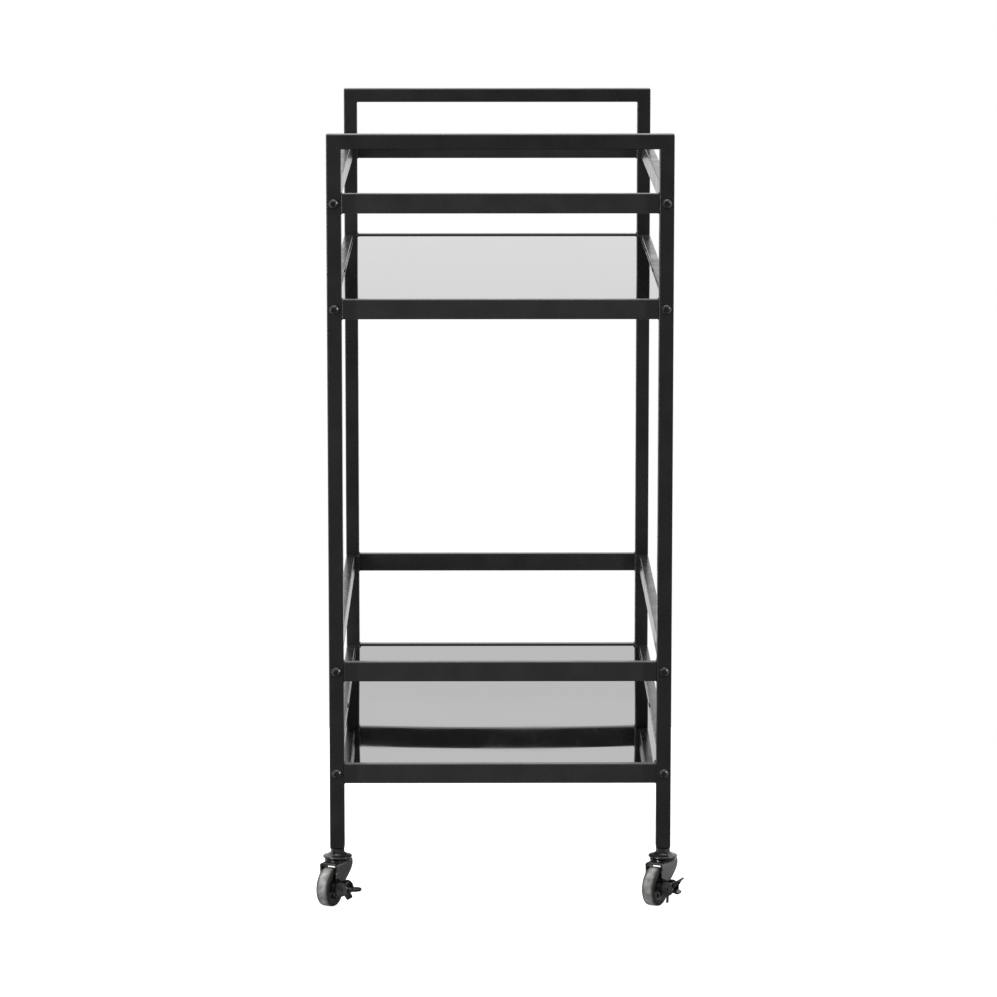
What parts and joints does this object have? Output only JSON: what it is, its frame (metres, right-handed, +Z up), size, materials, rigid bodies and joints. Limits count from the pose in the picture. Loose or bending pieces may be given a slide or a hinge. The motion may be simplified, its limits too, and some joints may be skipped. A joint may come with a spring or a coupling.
{
  "type": "bar cart",
  "caption": "Narrow rolling bar cart: welded black tube end frames with handle bars, guard rails, mirrored shelves, bolted side rails and swivel casters with side brakes.",
  "frame": {"origin": "on the floor, under the middle of the cart", "axes": "+Z up, +Y along the cart's length towards the far end, +X to the right seen from the near end"},
  "size_m": [0.3772, 0.7085, 0.792],
  "materials": {
    "frame_paint": "semi-gloss black powder coat on the square tube",
    "rail_paint": "semi-gloss black powder coat on the rails",
    "bolt_black": "glossy black button-head bolts",
    "mirror": "silvered float glass with polished edges",
    "caster_steel": "black plated pressed steel",
    "brake_steel": "glossy black plated pressed steel",
    "axle_steel": "zinc plated rivet",
    "hub_plastic": "moulded dark plastic",
    "tyre_grey": "smooth grey thermoplastic rubber"
  },
  "bodies": {
    "root": {"front_end_frame": "frame_paint", "front_upper_guard_rail": "rail_paint", "front_upper_shelf_rail": "rail_paint", "front_lower_guard_rail": "rail_paint", "front_lower_shelf_rail": "rail_paint", "rear_end_frame": "frame_paint", "rear_upper_guard_rail": "rail_paint", "rear_upper_shelf_rail": "rail_paint", "rear_lower_guard_rail": "rail_paint", "rear_lower_shelf_rail": "rail_paint", "left_upper_guard_rail": "rail_paint", "left_upper_shelf_rail": "rail_paint", "left_lower_guard_rail": "rail_paint", "left_lower_shelf_rail": "rail_paint", "right_upper_guard_rail": "rail_paint", "right_upper_shelf_rail": "rail_paint", "right_lower_guard_rail": "rail_paint", "right_lower_shelf_rail": "rail_paint", "upper_mirror_shelf": "mirror", "lower_mirror_shelf": "mirror", "front_left_upper_guard_bolt": "bolt_black", "rear_left_upper_guard_bolt": "bolt_black", "front_left_upper_shelf_bolt": "bolt_black", "rear_left_upper_shelf_bolt": "bolt_black", "front_left_lower_guard_bolt": "bolt_black", "rear_left_lower_guard_bolt": "bolt_black", "front_left_lower_shelf_bolt": "bolt_black", "rear_left_lower_shelf_bolt": "bolt_black", "front_right_upper_guard_bolt": "bolt_black", "rear_right_upper_guard_bolt": "bolt_black", "front_right_upper_shelf_bolt": "bolt_black", "rear_right_upper_shelf_bolt": "bolt_black", "front_right_lower_guard_bolt": "bolt_black", "rear_right_lower_guard_bolt": "bolt_black", "front_right_lower_shelf_bolt": "bolt_black", "rear_right_lower_shelf_bolt": "bolt_black", "caster_stem_front_left": "caster_steel", "caster_stem_front_right": "caster_steel", "caster_stem_rear_left": "caster_steel", "caster_stem_rear_right": "caster_steel"},
    "caster_front_left": {"caster_fork_front_left": "caster_steel", "caster_axle_front_left": "axle_steel"},
    "wheel_front_left": {"wheel_hub_front_left": "hub_plastic", "wheel_tyre_front_left": "tyre_grey"},
    "brake_front_left": {"brake_lever_front_left": "brake_steel"},
    "caster_front_right": {"caster_fork_front_right": "caster_steel", "caster_axle_front_right": "axle_steel"},
    "wheel_front_right": {"wheel_hub_front_right": "hub_plastic", "wheel_tyre_front_right": "tyre_grey"},
    "brake_front_right": {"brake_lever_front_right": "brake_steel"},
    "caster_rear_left": {"caster_fork_rear_left": "caster_steel", "caster_axle_rear_left": "axle_steel"},
    "wheel_rear_left": {"wheel_hub_rear_left": "hub_plastic", "wheel_tyre_rear_left": "tyre_grey"},
    "caster_rear_right": {"caster_fork_rear_right": "caster_steel", "caster_axle_rear_right": "axle_steel"},
    "wheel_rear_right": {"wheel_hub_rear_right": "hub_plastic", "wheel_tyre_rear_right": "tyre_grey"}
  },
  "joints": [
    {"name": "swivel_front_left", "type": "hinge", "parent": "root", "child": "caster_front_left", "pos_m": [-0.1675, -0.3175, 0.045], "axis": [0, 0, 1], "continuous": true},
    {"name": "wheel_spin_front_left", "type": "hinge", "parent": "caster_front_left", "child": "wheel_front_left", "pos_m": [-0.17485, -0.33327, 0.02], "axis": [0.9063, -0.4226, 0], "continuous": true},
    {"name": "brake_front_left", "type": "hinge", "parent": "caster_front_left", "child": "brake_front_left", "pos_m": [-0.16035, -0.34003, 0.02], "axis": [-0.4226, -0.9063, 0], "range_deg": [0, 38]},
    {"name": "swivel_front_right", "type": "hinge", "parent": "root", "child": "caster_front_right", "pos_m": [0.1675, -0.3175, 0.045], "axis": [0, 0, 1], "continuous": true},
    {"name": "wheel_spin_front_right", "type": "hinge", "parent": "caster_front_right", "child": "wheel_front_right", "pos_m": [0.15941, -0.33291, 0.02], "axis": [0.8854, -0.4648, 0], "continuous": true},
    {"name": "brake_front_right", "type": "hinge", "parent": "caster_front_right", "child": "brake_front_right", "pos_m": [0.17358, -0.34034, 0.02], "axis": [-0.4648, -0.8854, 0], "range_deg": [-38, 0]},
    {"name": "swivel_rear_left", "type": "hinge", "parent": "root", "child": "caster_rear_left", "pos_m": [-0.1675, 0.3175, 0.045], "axis": [0, 0, 1], "continuous": true},
    {"name": "wheel_spin_rear_left", "type": "hinge", "parent": "caster_rear_left", "child": "wheel_rear_left", "pos_m": [-0.16212, 0.33405, 0.02], "axis": [-0.9511, 0.309, 0], "continuous": true},
    {"name": "swivel_rear_right", "type": "hinge", "parent": "root", "child": "caster_rear_right", "pos_m": [0.1675, 0.3175, 0.045], "axis": [0, 0, 1], "continuous": true},
    {"name": "wheel_spin_rear_right", "type": "hinge", "parent": "caster_rear_right", "child": "wheel_rear_right", "pos_m": [0.16388, 0.33452, 0.02], "axis": [-0.9781, -0.2079, 0], "continuous": true}
  ]
}
